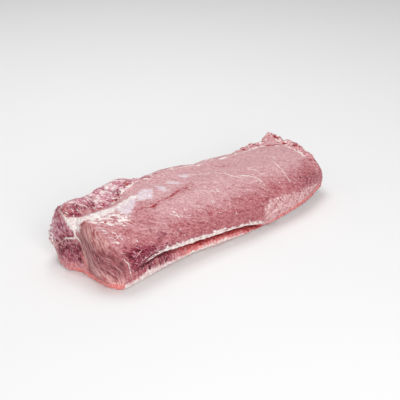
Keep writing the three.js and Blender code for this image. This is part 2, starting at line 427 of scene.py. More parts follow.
def paint_back_muscles(meat):
    """The mauve muscle and the wine one behind the eye, seams of fat, salmon foot and ragged rim."""
    cut, end, y, z = meat.cut, meat.end, meat.y, meat.z
    ragged = mottle(meat.places, (6, 6, 6), seed=3)
    fine = mottle(meat.places, (2.5, 2.5, 2.5), seed=4)
    upper = inside(end, UPPER_MUSCLE, 2) * cut
    lower = inside(end, LOWER_MUSCLE, 2) * cut
    wine = inside(end, WINE_MUSCLE, 7)
    meat.paint("mauve", np.maximum(upper, (0.3 + 0.4 * ramp(z, 22, 8)) * lower))
    meat.paint("streaks", np.maximum(upper, 0.25 * lower))
    meat.paint("wine", (0.3 + 0.7 * ragged) * upper + 0.6 * upper * near_line(end, SEAM_BACK, 6))
    meat.paint("raw", lower)
    # Paler towards the foot of the lower muscle: partly its own colour and partly painted light over the
    # shade of its down-facing foot
    meat.paint("pale", (0.5 * fine + 0.6 * ramp(z, 20, 8)) * lower)
    meat.paint("wine", (0.25 + 0.5 * ramp(z, 6, 24) + 0.5 * ragged + 0.6 * fine) * wine * cut)
    meat.paint("wine", (0.3 + 0.8 * fine) * lower * ramp(z, 9, 20))
    meat.paint("dark", (0.55 + 1.0 * fine) * near_line(end, WINE_CORE, 7) * cut)

    # More salmon towards the foot of the lower muscle: partly its own colour and partly painted light over
    # the shade of its down-facing foot
    meat.paint("blood", (0.42 + 0.5 * fine) * lower * ramp(z, 22, 10))
    meat.paint("blood", 0.75 * lower * ramp(z + 4 * ragged, 7, 3) * ramp(y, 80, 62))
    meat.paint("fat", (0.45 + 0.8 * fine) * lower * ramp(z + 3 * ragged, 6, 2) * ramp(y, 70, 84))
    meat.paint("fat", (0.3 + 0.7 * fine) * ramp(z + 2 * ragged, 5, 1) * ramp(y, 84, 60) * cut)

    seam_width = 0.9 + 1.5 * bell(z - 57, 8) + 0.5 * ragged
    meat.paint("fat", 1.1 * near_line(end, SEAM_UPPER, seam_width) * cut)
    meat.paint("fat", 0.95 * inside(end, SEAM_WEDGE, 1.5) * cut)
    meat.paint("pale", 0.8 * near_line(end, SEAM_BACK, 4) * cut)
    meat.paint("fat", 0.8 * near_line(end, SEAM_BACK, 2.2) * ramp(y, 97, 74) * cut)
    back_rim = ramp(y, 97, 103) * cut
    meat.paint("pale", back_rim * (0.6 + 0.6 * fine))
    meat.paint("fat", back_rim * (0.42 - 0.9 * fine))


def paint_top(meat):
    """Redder meat near the cut end, with the vein and a red streak across the top."""
    plan, high, x, y = meat.plan, meat.high, meat.x, meat.y
    wave = mottle(meat.places, (9, 5, 5), seed=10)
    vein = line_gap(plan, VEIN)
    meat.paint("raw", 0.55 * ramp(x, 120, 30) * ramp(y, 72, 40) * (1 - 0.45 * meat.cut))
    meat.paint("raw", 0.5 * bell(vein, 7) * high)
    meat.paint("raw", (0.5 + 0.9 * wave) * near_line(plan, RED_STREAK, 2.2) * high)
    meat.paint("raw", ramp(y, 100, 106) * ramp(x, 110, 130) * high)
    meat.paint("deep", (0.55 + 0.7 * wave) * bell(vein, 1.5) * high)
    meat.paint("deep", bell(0.5 * spot_gap(plan, VEIN_SPOTS) + vein, 2.6) * high)
    meat.paint("fat", (0.6 + 0.7 * wave) * near_line(plan, BACK_RIM, 2.4) * high)


def paint_seam_top(meat):
    """Fat over the seam, with a patchy fringe, and silverskin where the fat ends."""
    plan, high, body = meat.plan, meat.high, meat.body
    ragged = mottle(meat.places, (8, 7, 7), seed=6)
    smear = mottle(meat.grain, (13, 4, 4), seed=7)
    reach = 3.6 + 4.0 * bell(meat.x - 8, 24) + 2.0 * ragged
    meat.paint("fat", ramp(line_gap(plan, FAT_BAND), 1.9 * reach, 0.2 * reach) * high)
    meat.paint("fat", (0.5 + 0.6 * smear) * inside(plan, FRINGE, 7) * high * body)
    beside_rim = near_line(plan, RIM_SMEAR, 5) * ramp(meat.z, 44, 52) * body
    meat.paint("fat", (0.4 + 0.8 * smear) * beside_rim)
    for patch in SILVER_PATCHES:
        meat.paint("silver", 0.82 * inside(plan, patch, 3.5) * high)


def paint_rough_muscle(meat):
    """Dark and pale flakes of the rough muscle, its fat edge, and the dark patch on the bevel."""
    plan, high, x, z = meat.plan, meat.high, meat.x, meat.z
    along, right = slanting(x, meat.y, ROUGH_WAY)
    slanted = np.stack([along, -right, z], axis=1)
    flakes = mottle(slanted, (20, 7, 8), seed=8, octaves=4)
    pale = mottle(slanted, (18, 5, 6), seed=9, octaves=4)
    down_back = ramp(z - 0.45 * np.maximum(x - 10, 0) + 14 * flakes, 4, 30)
    rough = inside(plan, ROUGH, 3) * (1 - meat.back * (1 - down_back)) * ramp(z, 14, 30) * meat.body
    bevel = inside(plan, BEVEL, 5) * high
    meat.paint("rough", np.maximum(rough, bevel))
    meat.paint("mauve", rough)
    meat.paint("streaks", 0.6 * rough)
    meat.paint("wine", rough * (0.25 + 0.9 * flakes))
    meat.paint("fat", rough * (0.08 + 1.0 * pale))
    meat.paint("fat", 0.7 * rough * near_spots(plan, FAT_SPOTS, 5))

    meat.scrape("fat", bevel)
    meat.scrape("mauve", bevel)
    meat.paint("raw", bevel)
    meat.paint("wine", bevel * (0.7 + 1.0 * flakes))
    meat.paint("fat", bevel * (0.08 + 0.9 * pale))
    meat.paint("fat", 0.75 * near_line(plan, BEVEL_LINE, 1.8) * (0.9 + 0.6 * pale) * high)
    meat.paint("fat", near_line(plan, ROUGH_EDGE, 2.6) * (0.75 + 0.7 * pale) * high)
    meat.paint("deep", 1.2 * near_spots(plan, RED_SPOTS, 3.2) * (0.8 + 0.6 * flakes) * high)


def paint_front(meat):
    """Red side, fat lip over the groove, dark patches, and film with a red edge."""
    side, front, x, z, over = meat.side, meat.front, meat.x, meat.z, meat.over_lip
    ragged = mottle(meat.places, (7, 6, 6), seed=11)
    fine = mottle(meat.places, (3, 2.5, 2.5), seed=12)
    on_front = meat.body * (meat.y < FRONT_HALF)
    # The front side is redder towards the bottom, fully so below about 36 mm: partly the side's own red
    # lean and partly painted shade low down
    meat.paint("raw", ramp(z + 5 * ragged, 66, 36) * np.maximum(front, ramp(meat.y, 24, 12)) * meat.body)
    meat.paint("wine", (0.3 + 0.7 * ragged) * near_spots(side, RED_BLOTCHES, 9) * on_front)
    lip_top = level(LIP_FAT, x) + 3.5 * ragged + 1.5 * fine
    lip = ramp(over, -3, -1) * ramp(over - lip_top, 3, -3)
    meat.paint("fat", (0.85 + 0.5 * fine) * lip * meat.groove * ramp(x, 16, 40) * front)
    meat.paint("wine", (0.2 + 0.8 * ragged) * bell(over - 9, 9) * meat.groove * front)
    patch = inside(side, WINE_PATCH, 9)
    meat.paint("wine", patch * (1.0 + 0.6 * ragged) * front)
    meat.paint("dark", 0.55 * patch * (0.7 + 0.8 * fine) * front)
    film = inside(side, FILM, 3) * front
    meat.paint("film", (0.62 + 0.9 * fine) * film)
    meat.paint("streaks", film)
    meat.paint("blood", (0.95 + 0.4 * ragged) * near_line(side, BLOOD_EDGE, 3.6) * front)
    meat.paint("deep", (0.3 + 0.9 * ragged) * near_line(side, BLOOD_EDGE, 2.4) * front)
    dark_end = inside(side, DARK_END, 6) * ramp(x, 255, 285)
    meat.paint("wine", (0.45 + 0.6 * fine) * dark_end)
    meat.paint("streaks", 0.5 * dark_end)


def paint_flap(meat):
    """Flap under the groove, dark near the cut end and salmon past it, with a foot of fat."""
    x, z, over = meat.x, meat.z, meat.over_lip
    fine = mottle(meat.places, (3, 2.5, 2.5), seed=12)
    upright = mottle(meat.places, (3, 14, 14), seed=13)
    near_end = ramp(x, 100, 45)
    flap = ramp(over, -2, -4) * meat.groove * meat.body * (meat.y < FRONT_HALF)
    meat.paint("raw", flap)
    meat.paint("streaks", flap)
    meat.paint("wine", flap * near_end * (0.75 + 0.5 * upright) * ramp(z, 6, 16))
    # Dark red at the top of the flap near the cut end, in the groove under the lip: partly the groove's
    # own dark red and partly painted shade
    meat.paint("dark", 0.8 * flap * near_end * ramp(over + 1.5 * upright, -10, -4))
    meat.paint("blood", flap * (1 - near_end) * (0.6 + 0.5 * upright))
    # Deep red at the top of the flap, in the groove under the lip: partly its own colour and partly
    # painted shade
    meat.paint("deep", flap * ramp(over + 3 * upright, -10, -5) * (0.7 - 0.4 * near_end))
    fat_height = level(FLAP_FAT, x)
    along_foot = meat.front * ramp(x, 218, 205)
    foot = ramp(z + 2 * upright, 1.5 * fat_height, 0.8 * fat_height) * along_foot
    meat.paint("film", foot)
    meat.paint("fat", (0.62 + 0.45 * fine) * foot)
    meat.paint("fat", 0.9 * ramp(z, 0.4 * fat_height, 0.2 * fat_height) * along_foot)


def paint_far_end(meat):
    """Torn layer round the far end, white where the skin of the top stops, and the far face."""
    plan, end, far, x, y, z = meat.plan, meat.end, meat.far, meat.x, meat.y, meat.z
    ragged = mottle(meat.places, (6, 5, 5), seed=14)
    pale = mottle(meat.places, (5, 4, 4), seed=15)
    past = ramp(x, 324, 337) + ramp(y, 93, 98) * ramp(x, 236, 262)
    hidden = np.maximum(meat.back, far)
    torn = np.clip(past, 0, 1) * ramp(z + 5 * ragged, 24 + 26 * hidden, 42 + 16 * hidden)
    meat.paint("torn", torn)
    meat.paint("raw", 0.7 * torn)
    meat.paint("pale", 0.75 * torn)
    meat.paint("mauve", 0.3 * torn)
    meat.paint("wine", torn * (0.1 + 1.0 * ragged))
    meat.paint("fat", torn * (0.35 + 1.0 * pale) * ramp(y, 45, 85))
    torn_top = ramp(z, 42, 48)
    meat.paint("fat", (0.55 + 0.7 * pale) * near_line(plan, TORN_EDGE, 2.0) * torn_top)
    meat.paint("fat", (0.75 + 0.5 * pale) * near_line(plan, TORN_TIP, 2.2) * torn_top)
    meat.paint("deep", 0.95 * near_line(plan, TORN_SLIT, 2.2) * torn_top)
    meat.paint("deep", 1.1 * near_spots(plan, TORN_SPOTS, 3.0) * torn_top)

    behind = inside(end, FAR_MUSCLE, 3) * far
    meat.paint("cut", far)
    meat.paint("streaks", 0.6 * far)
    meat.paint("mauve", 0.7 * behind)
    meat.paint("wine", (0.5 + 0.8 * ragged) * behind)
    meat.paint("pale", (0.6 + 0.3 * ragged) * near_line(end, FAR_SEAM, 9) * far)
    meat.paint("fat", (0.95 + 0.4 * pale) * near_line(end, FAR_SEAM, 2.2) * far)


def paint_hidden_sides(meat):
    """Seams of fat on the back, a fat foot round the hidden sides, and a fat underside."""
    back, z = meat.back, meat.z
    ragged = mottle(meat.places, (14, 8, 8), seed=16)
    pale = mottle(meat.places, (34, 5, 5), seed=24, octaves=4)
    meat.paint("raw", back * (0.55 + 0.5 * ragged))
    meat.paint("wine", back * (0.1 + 0.7 * ragged) * ramp(z, 46, 20))
    meat.paint("streaks", 0.5 * back)
    for seam in BACK_SEAMS:
        meat.paint("fat", back * (0.62 + 0.9 * pale) * near_line(meat.side, seam, 3.6))
    meat.paint("fat", np.maximum(back, meat.far) * ramp(z + 7 * ragged, 13, 6))
    meat.paint("fat", meat.under * (0.62 + 0.6 * ragged))


def sow_bits(meat):
    """How thickly loose bits of each kind lie on the surface."""
    plan, high, front, x, z = meat.plan, meat.high, meat.front, meat.x, meat.z
    rough, torn, film = (meat.paints[name] for name in ("rough", "torn", "film"))
    top = ramp(z, 30, 38) * meat.body
    # White flecks: partly fat and partly painted glints
    meat.paint("flecks", 0.5 * near_spots(plan, WHITE_FLECKS, 3.5) * top)
    meat.paint("flecks", near_spots(plan, WHITE_NICKS, 3.0) * high)
    meat.paint("flecks", 0.07 * inside(plan, FRINGE, 5) * high * meat.body)
    meat.paint("flecks", 0.15 * rough + 0.006 * top)
    meat.paint("specks", near_spots(plan, RED_NICKS, 2.5) * high)
    meat.paint("specks", 0.5 * near_spots(plan, RED_SPOTS, 4.0) * high)
    meat.paint("shreds", bell(meat.over_lip - 1.5, 2.5) * front * ramp(x, 16, 30) * ramp(x, 214, 190))
    meat.paint("strands", rough * ramp(x, -20, -8) + 0.5 * inside(meat.side, WINE_PATCH, 4) * front)
    meat.paint("strands", 0.8 * film * ramp(x, 210, 218))
    meat.paint("strands", 0.04 * top)
    meat.paint("tags", torn * ramp(z, 38, 48) + 0.55 * meat.rim * ramp(meat.y, 55, 70))


def relief_height(meat):
    """Height of the fine relief along the surface's normals, in millimetres."""
    paints = meat.paints
    waves = mottle(meat.places, (34, 20, 20), seed=25)
    grain = mottle(meat.grain, (30, 4, 4), seed=18)
    fibres = mottle(meat.grain, (10, 2.6, 2.6), seed=27)
    crags = mottle(meat.places, (16, 8, 8), seed=19, octaves=4)
    lumps = mottle(meat.places, (4.5, 4, 4), seed=20)
    height = 0.4 * grain + 0.12 * fibres + 0.7 * waves
    height += paints["rough"] * (1.7 * crags + 0.6 * lumps)
    height += 1.8 * near_line(meat.plan, ROUGH_SWELL, 9) * meat.high
    height += paints["torn"] * (2.2 * crags + 1.2 * lumps)
    height += paints["fat"] * (0.5 + 0.6 * lumps) * (1 - meat.under)
    height += 0.3 * paints["silver"]
    height -= 0.6 * paints["deep"] * (1 - meat.front)
    height += meat.rim * ramp(meat.y, 45, 70) * (0.8 + 2.4 * lumps)
    return height * ramp(meat.z, 0.0, FLAT_FOOT)


PAINTS = ("fat", "silver", "wine", "dark", "deep", "raw", "blood", "film", "pale", "mauve", "cut",
          "streaks")
BITS = ("flecks", "specks", "shreds", "strands", "tags")
RELIEF_LAYERS = ("rough", "torn")
PAINTERS = (paint_eye, paint_back_muscles, paint_top, paint_seam_top, paint_rough_muscle, paint_front,
            paint_flap, paint_far_end, paint_hidden_sides)


def write_layer(mesh, name, values):
    """Stores one number or one vector for each vertex."""
    if values.ndim == 1:
        layer = mesh.attributes.new(name, "FLOAT", "POINT")
        layer.data.foreach_set("value", values.astype(np.float32))
    else:
        layer = mesh.attributes.new(name, "FLOAT_VECTOR", "POINT")
        layer.data.foreach_set("vector", values.astype(np.float32).ravel())


def make_loin():
    """The loin's own surface, painted and with its relief."""
    piece = fine_surface()
    mesh = piece.data
    meat = Surface(mesh)
    for name in PAINTS + BITS + RELIEF_LAYERS:
        meat.paint(name, np.zeros(len(meat.x)))
    lay_grain(meat)
    for painter in PAINTERS:
        painter(meat)
    sow_bits(meat)
    lay_strands(meat)
    places = meat.places + meat.outward * relief_height(meat)[:, None]
    places[:, 2] = np.maximum(places[:, 2], 0)
    mesh.vertices.foreach_set("co", in_frame(places).ravel())
    for name in PAINTS + BITS:
        write_layer(mesh, name, meat.paints[name])
    write_layer(mesh, "grain", meat.grain)
    write_layer(mesh, "lie", meat.lie)
    mesh.shade_smooth()
    mesh.materials.append(meat_material())
    mesh.update()
    return piece


def colour(red, green, blue):
    """A colour on the photograph's scale, 0 to 255, as the shader's linear light."""
    def linear(value):
        share = value / 255
        return share / 12.92 if share <= 0.04045 else ((share + 0.055) / 1.055) ** 2.4
    return (linear(red), linear(green), linear(blue), 1.0)


# Dark and light colour of each paint, and of the loose bits
LEAN = colour(184, 127, 133), colour(226, 185, 187)
RAW = colour(150, 66, 74), colour(208, 140, 145)
FLESH = colour(84, 30, 36), colour(160, 90, 93)
PALE = colour(178, 84, 87), colour(248, 203, 198)
MAUVE = colour(168, 78, 100), colour(230, 184, 195)
WINE = colour(88, 8, 28), colour(176, 84, 102)
DARK = colour(66, 4, 22), colour(150, 60, 80)
DEEP = colour(120, 8, 18), colour(200, 76, 80)
FILM_PINK = colour(206, 140, 142), colour(242, 212, 211)
SILVER = colour(210, 182, 190), colour(238, 228, 234)
BLOOD = colour(218, 97, 98), colour(250, 172, 166)
FAT = colour(220, 192, 189), colour(248, 241, 238)
STRAND = colour(206, 140, 152), colour(240, 210, 214)
TORN_MEAT = colour(186, 96, 106), colour(236, 188, 190)

# Single colours: pale threads between the fibres, and white flecks that are partly fat and partly painted
# glints
THREAD = colour(228, 194, 198)
FLECK_AND_GLINT = colour(246, 232, 230)

# Sockets that nodes of several kinds of value have for the kind in use
MIX_SHARE, MIX_FIRST, MIX_SECOND, MIX_RESULT = 0, 6, 7, 2
RANDOM_SOCKETS = {"FLOAT_VECTOR": (0, 1, 0), "FLOAT": (2, 3, 1), "INT": (4, 5, 2)}


class Recipe:
    """Short words for adding nodes to a tree and joining them."""

    def __init__(self, tree):
        self.tree = tree
        tree.nodes.clear()

    def add(self, kind, inputs=(), **settings):
        """A new node, with its settings made first and then its inputs fed."""
        node = self.tree.nodes.new(kind)
        for name, value in settings.items():
            setattr(node, name, value)
        for socket, value in dict(inputs).items():
            self.feed(node.inputs[socket], value)
        return node

    def feed(self, socket, value):
        """Joins an output to a socket, or sets the socket's own value."""
        if isinstance(value, bpy.types.NodeSocket):
            self.tree.links.new(value, socket)
        else:
            socket.default_value = value

    def attribute(self, name, output="Fac"):
        """A layer of the mesh."""
        return self.add("ShaderNodeAttribute", attribute_name=name).outputs[output]

    def noise(self, places, size, seed, detail=3.0, roughness=0.6):
        """Noise with features of the given size along each axis, in the unit of the places."""
        scaled = self.add("ShaderNodeMapping", {"Vector": places, "Scale": size}, vector_type="TEXTURE")
        values = {"Vector": scaled.outputs["Vector"], "W": seed, "Scale": 1.0, "Detail": detail,
                  "Roughness": roughness}
        return self.add("ShaderNodeTexNoise", values, noise_dimensions="4D").outputs["Fac"]

    def random(self, kind, low, high, seed):
        """A random value for each point, between low and high."""
        from_socket, to_socket, result = RANDOM_SOCKETS[kind]
        values = {from_socket: low, to_socket: high, "Seed": seed}
        return self.add("FunctionNodeRandomValue", values, data_type=kind).outputs[result]

    def math(self, operation, first, second=0.0):
        """Result of a sum on one or two numbers."""
        return self.add("ShaderNodeMath", {0: first, 1: second}, operation=operation).outputs[0]

    def vector_math(self, operation, first, second):
        """Result of a sum on two vectors."""
        node = self.add("ShaderNodeVectorMath", {0: first, 1: second}, operation=operation)
        return node.outputs["Vector"]

    def blend(self, *shares):
        """Sum of (value, share) pairs."""
        total = self.math("MULTIPLY", *shares[0])
        for value, share in shares[1:]:
            total = self.math("ADD", total, self.math("MULTIPLY", value, share))
        return total

    def span(self, value, low, high, to_low=0.0, to_high=1.0):
        """Smooth step of a value between low and high, from to_low to to_high."""
        values = {"Value": value, "From Min": low, "From Max": high, "To Min": to_low, "To Max": to_high}
        return self.add("ShaderNodeMapRange", values, interpolation_type="SMOOTHSTEP").outputs["Result"]

    def mix(self, share, first, second):
        """The first colour with a share of the second over it."""
        values = {MIX_SHARE: share, MIX_FIRST: first, MIX_SECOND: second}
        return self.add("ShaderNodeMix", values, data_type="RGBA").outputs[MIX_RESULT]

    def shade(self, tone, dark_at, light_at, colours):
        """A dark and a light colour, mixed by a noise."""
        return self.mix(self.span(tone, dark_at, light_at), *colours)

    def broken(self, name, speckle, bite, soft):
        """A paint with its edge broken up by a noise."""
        push = self.math("MULTIPLY", self.math("SUBTRACT", speckle, 0.5), bite)
        return self.span(self.math("ADD", self.attribute(name), push), 0.5 - soft, 0.5 + soft)

    def bump(self, height, distance):
        """Normals with a slight bump."""
        values = {"Strength": 0.3, "Distance": distance, "Height": height}
        return self.add("ShaderNodeBump", values).outputs["Normal"]

    def finish_material(self, values):
        """Ends a material's tree with a shader of these values."""
        shader = self.add("ShaderNodeBsdfPrincipled", values)
        self.add("ShaderNodeOutputMaterial", {"Surface": shader.outputs["BSDF"]})


def new_material(name):
    """An empty material, the recipe of its tree, and the places on its piece."""
    material = bpy.data.materials.new(name)
    material.use_nodes = True
    nodes = Recipe(material.node_tree)
    return material, nodes, nodes.add("ShaderNodeTexCoord").outputs["Object"]


def meat_material():
    """Raw meat: the paints laid over each other, each mottled between its dark and light colour."""
    material, nodes, places = new_material("raw_pork")
    grain = nodes.attribute("grain", "Vector")
    fibre = nodes.noise(grain, (14, 1.5, 1.5), 1.0)
    muscle = nodes.noise(grain, (20, 2.2, 2.2), 9.0, detail=4.0)
    streak = nodes.noise(grain, (8, 3.0, 3.0), 2.0, detail=5.0, roughness=0.7)
    cloud = nodes.noise(grain, (55, 18, 18), 6.0)
    threads = nodes.noise(grain, (16, 1.3, 1.3), 7.0, detail=2.0)
    flecks = nodes.noise(grain, (5, 1.3, 1.3), 8.0, detail=1.0)
    grit = nodes.noise(places, metres(2.2, 1.8, 1.8), 3.0, roughness=0.65)
    blotch = nodes.noise(places, metres(6, 4.5, 4.5), 4.0, detail=5.0, roughness=0.68)
    patch = nodes.noise(places, metres(4.5, 3.5, 3.5), 5.0, detail=4.0, roughness=0.65)
    tone = nodes.blend((fibre, 0.22), (streak, 0.38), (grit, 0.4))
    fine = nodes.blend((muscle, 0.8), (grit, 0.2))
    stringy = nodes.blend((muscle, 0.55), (grit, 0.45))
    torn_edge = nodes.blend((patch, 0.35), (streak, 0.3), (grit, 0.35))

    # Lean and redder meat, and the darker flesh of the cut ends
    raw_amount = nodes.attribute("raw")
    raw = nodes.shade(tone, 0.4, 0.6, RAW)
    push = nodes.math("MULTIPLY", nodes.math("SUBTRACT", nodes.math("ADD", blotch, cloud), 1.0), 1.1)
    redness = nodes.span(nodes.math("ADD", raw_amount, push), 0.0, 1.0)
    tint = nodes.mix(redness, nodes.shade(tone, 0.4, 0.6, LEAN), raw)
    flesh = nodes.mix(raw_amount, nodes.shade(fine, 0.41, 0.59, FLESH), raw)
    tint = nodes.mix(nodes.attribute("cut"), tint, flesh)
    tint = nodes.mix(nodes.attribute("pale"), tint, nodes.shade(fine, 0.4, 0.6, PALE))
    tint = nodes.mix(nodes.attribute("mauve"), tint, nodes.shade(tone, 0.43, 0.59, MAUVE))

    # Film, dark and red paints, with broken edges
    film = nodes.broken("film", torn_edge, 1.4, 0.45)
    wine = nodes.broken("wine", blotch, 1.5, 0.3)
    dark = nodes.broken("dark", blotch, 1.3, 0.35)
    blood = nodes.broken("blood", torn_edge, 1.2, 0.4)
    tint = nodes.mix(film, tint, nodes.shade(tone, 0.4, 0.6, FILM_PINK))
    tint = nodes.mix(wine, tint, nodes.shade(stringy, 0.42, 0.59, WINE))
    tint = nodes.mix(dark, tint, nodes.shade(stringy, 0.44, 0.61, DARK))
    tint = nodes.mix(blood, tint, nodes.shade(tone, 0.38, 0.62, BLOOD))

    # Pale threads, silverskin, fat, deep red, and white flecks on top that are partly fat and partly
    # painted glints
    thin_lines = nodes.span(threads, 0.54, 0.68, 0.0, 0.75)
    thread = nodes.math("MULTIPLY", thin_lines, nodes.attribute("streaks"))
    silver = nodes.broken("silver", streak, 0.9, 0.4)
    fat = nodes.broken("fat", torn_edge, 1.5, 0.28)
    deep = nodes.broken("deep", blotch, 1.0, 0.35)
    tint = nodes.mix(thread, tint, THREAD)
    tint = nodes.mix(silver, tint, nodes.shade(tone, 0.38, 0.62, SILVER))
    tint = nodes.mix(fat, tint, nodes.shade(patch, 0.34, 0.6, FAT))
    tint = nodes.mix(deep, tint, nodes.shade(grit, 0.4, 0.66, DEEP))
    tint = nodes.mix(nodes.span(flecks, 0.72, 0.8, 0.0, 0.7), tint, FLECK_AND_GLINT)

    nodes.finish_material({
        "Base Color": tint,
        "Roughness": nodes.span(grit, 0.3, 0.7, 0.4, 0.6),
        "Normal": nodes.bump(tone, 0.8 * MM),
        "Specular IOR Level": 0.14,
        "Coat Weight": 0.12,
        "Coat Roughness": 0.25,
    })
    return material


def bit_material(name, colours):
    """Moist fat or meat of the small loose bits, mottled between two colours."""
    material, nodes, places = new_material(name)
    patch = nodes.noise(places, metres(5, 4, 4), 9.0)
    grit = nodes.noise(places, metres(1, 1, 1), 10.0)
    nodes.finish_material({
        "Base Color": nodes.shade(patch, 0.36, 0.64, colours),
        "Roughness": nodes.span(grit, 0.3, 0.7, 0.4, 0.55),
        "Normal": nodes.bump(grit, 0.3 * MM),
        "Specular IOR Level": 0.2,
    })
    return material


def shape_tree(name, inputs):
    """An empty tree of geometry nodes with the named inputs."""
    tree = bpy.data.node_groups.new(name, "GeometryNodeTree")
    tree.interface.new_socket("Geometry", in_out="INPUT", socket_type="NodeSocketGeometry")
    for label, kind in inputs:
        tree.interface.new_socket(label, in_out="INPUT", socket_type=kind)
    tree.interface.new_socket("Geometry", in_out="OUTPUT", socket_type="NodeSocketGeometry")
    return tree


def shaped(piece, tree, values):
    """The piece with a tree's shape as its plain mesh."""
    modifier = piece.modifiers.new("shape", "NODES")
    modifier.node_group = tree
    for socket in tree.interface.items_tree:
        if socket.name in values:
            modifier[socket.identifier] = values[socket.name]
    return plain_mesh(piece)


THREAD_SIDES = 6
THREAD_STEP = 1.2 * MM
THREAD_TAPER = 0.4
THREAD_SWELL = 3.0
THREAD_WAVES = 170.0  # waves of its sway to a metre
THREAD_LUMPS = 420.0  # lumps to a metre
THREAD_INPUTS = (
    ("Surface", "NodeSocketObject"), ("Thickness", "NodeSocketFloat"), ("Wander", "NodeSocketFloat"),
    ("Material", "NodeSocketMaterial"),
)
ABOVE_LOIN = 150.0  # height that lines are laid down from
BEFORE_LOIN = -100.0  # y that lines are laid back from


def thread_tree():
    """Geometry nodes that lay thin tapering threads on a surface, along the lines of a mesh."""
    tree = shape_tree("laid_threads", THREAD_INPUTS)
    nodes = Recipe(tree)
    given = nodes.add("NodeGroupInput").outputs
    curve = nodes.add("GeometryNodeMeshToCurve", {"Mesh": given["Geometry"]})
    even = nodes.add("GeometryNodeResampleCurve",
                     {"Curve": curve.outputs["Curve"], "Length": THREAD_STEP}, mode="LENGTH")
    sway = nodes.add("ShaderNodeTexNoise", {"Scale": THREAD_WAVES, "Detail": 3.0}).outputs["Color"]
    push = nodes.add("ShaderNodeVectorMath",
                     {0: nodes.vector_math("SUBTRACT", sway, (0.5, 0.5, 0.5)), "Scale": given["Wander"]},
                     operation="SCALE")
    swayed = nodes.add("GeometryNodeSetPosition",
                       {"Geometry": even.outputs["Curve"], "Offset": push.outputs["Vector"]})
    surface = nodes.add("GeometryNodeObjectInfo", {"Object": given["Surface"]})
    near = nodes.add("GeometryNodeProximity", {0: surface.outputs["Geometry"]}, target_element="FACES")
    laid = nodes.add("GeometryNodeSetPosition",
                     {"Geometry": swayed.outputs["Geometry"], "Position": near.outputs["Position"]})

    share = nodes.add("GeometryNodeSplineParameter").outputs["Factor"]
    hump = nodes.math("MULTIPLY", share, nodes.math("SUBTRACT", 1.0, share))
    taper = nodes.math("POWER", hump, THREAD_TAPER)
    lumps = nodes.add("ShaderNodeTexNoise", {"Scale": THREAD_LUMPS}).outputs["Fac"]
    uneven = nodes.math("MULTIPLY", taper, nodes.math("MULTIPLY", lumps, THREAD_SWELL))
    circle = nodes.add("GeometryNodeCurvePrimitiveCircle", {"Resolution": THREAD_SIDES, "Radius": 0.5})
    tube = nodes.add("GeometryNodeCurveToMesh", {
        "Curve": laid.outputs["Geometry"],
        "Profile Curve": circle.outputs["Curve"],
        "Scale": nodes.math("MULTIPLY", uneven, given["Thickness"]),
        "Fill Caps": True,
    })
    smooth = nodes.add("GeometryNodeSetShadeSmooth", {"Geometry": tube.outputs["Mesh"]})
    real = nodes.add("GeometryNodeRealizeInstances", {"Geometry": smooth.outputs["Geometry"]})
    finished = nodes.add("GeometryNodeSetMaterial",
                         {"Geometry": real.outputs["Geometry"], "Material": given["Material"]})
    nodes.add("NodeGroupOutput", {"Geometry": finished.outputs["Geometry"]})
    return tree


def cast(loin, starts, way):
    """Places on the loin that rays in one way meet first."""
    places = []
    for start in in_frame(starts):
        found, place, _, _ = loin.ray_cast(Vector(start), Vector(way))
        if found:
            places.append(tuple(place))
    return places


def laid_down(loin, line):
    """Places on the loin under a line of (x, y)."""
    return cast(loin, [(x, y, ABOVE_LOIN) for x, y in line], (0, 0, -1))


def laid_back(loin, line):
    """Places on the loin's front behind a line of (x, z)."""
    return cast(loin, [(x, BEFORE_LOIN, z) for x, z in line], (0, 1, 0))


def lines_mesh(name, lines):
    """A mesh of open lines through places in metres."""
    spots = [place for line in lines for place in line]
    edges = []
    first = 0
    for line in lines:
        edges += [(first + step, first + step + 1) for step in range(len(line) - 1)]
        first += len(line)
    mesh = bpy.data.meshes.new(name)
    mesh.from_pydata(spots, edges, [])
    return mesh


def make_threads(loin, white_fat, pink_strand):
    """Thin threads: down the rim of the eye, along the lip, over the dark patch, and sinews on the top."""
    bpy.context.view_layer.update()
    rim = [tuple(place) for place in in_frame(RIM_LINE)]
    lip = [laid_back(loin, line) for line in LIP_THREADS]
    patch = [laid_back(loin, line) for line in PATCH_THREADS]
    sinews = [laid_down(loin, line) for line in SINEWS + [TORN_TIP]]
    # Piece, lines, thickness and wander in millimetres, and material
    kinds = (
        ("rim_thread", [rim[:3], rim[1:]], 1.2, 4.0, white_fat),
        ("lip_threads", lip, 1.2, 4.0, white_fat),
        ("patch_threads", patch, 0.6, 8.0, pink_strand),
        ("sinew_threads", sinews, 1.2, 5.0, white_fat),
    )
    tree = thread_tree()
    pieces = []
    for name, lines, thickness, wander, material in kinds:
        values = {"Surface": loin, "Thickness": thickness * MM, "Wander": wander * MM,
                  "Material": material}
        pieces.append(shaped(new_piece(name, lines_mesh(name, lines)), tree, values))
    return pieces


BIT_SIDES = 6
BIT_RINGS = 6
BIT_DROP = -0.5  # the ends of a bent bit go down by this share of their bend
BIT_SMALLEST = (0.3, 0.5, 0.6)  # shares of a bit's length, width and thickness
BIT_LARGEST = (1.8, 1.4, 1.3)
FLIP_SEED = 50  # added to the seed for which way round a bit lies
BIT_INPUTS = (
    ("Where", "NodeSocketString"), ("Per square metre", "NodeSocketFloat"), ("Size", "NodeSocketVector"),
    ("Bend", "NodeSocketFloat"), ("Turn", "NodeSocketFloat"), ("Seed", "NodeSocketInt"),
    ("Material", "NodeSocketMaterial"),
)


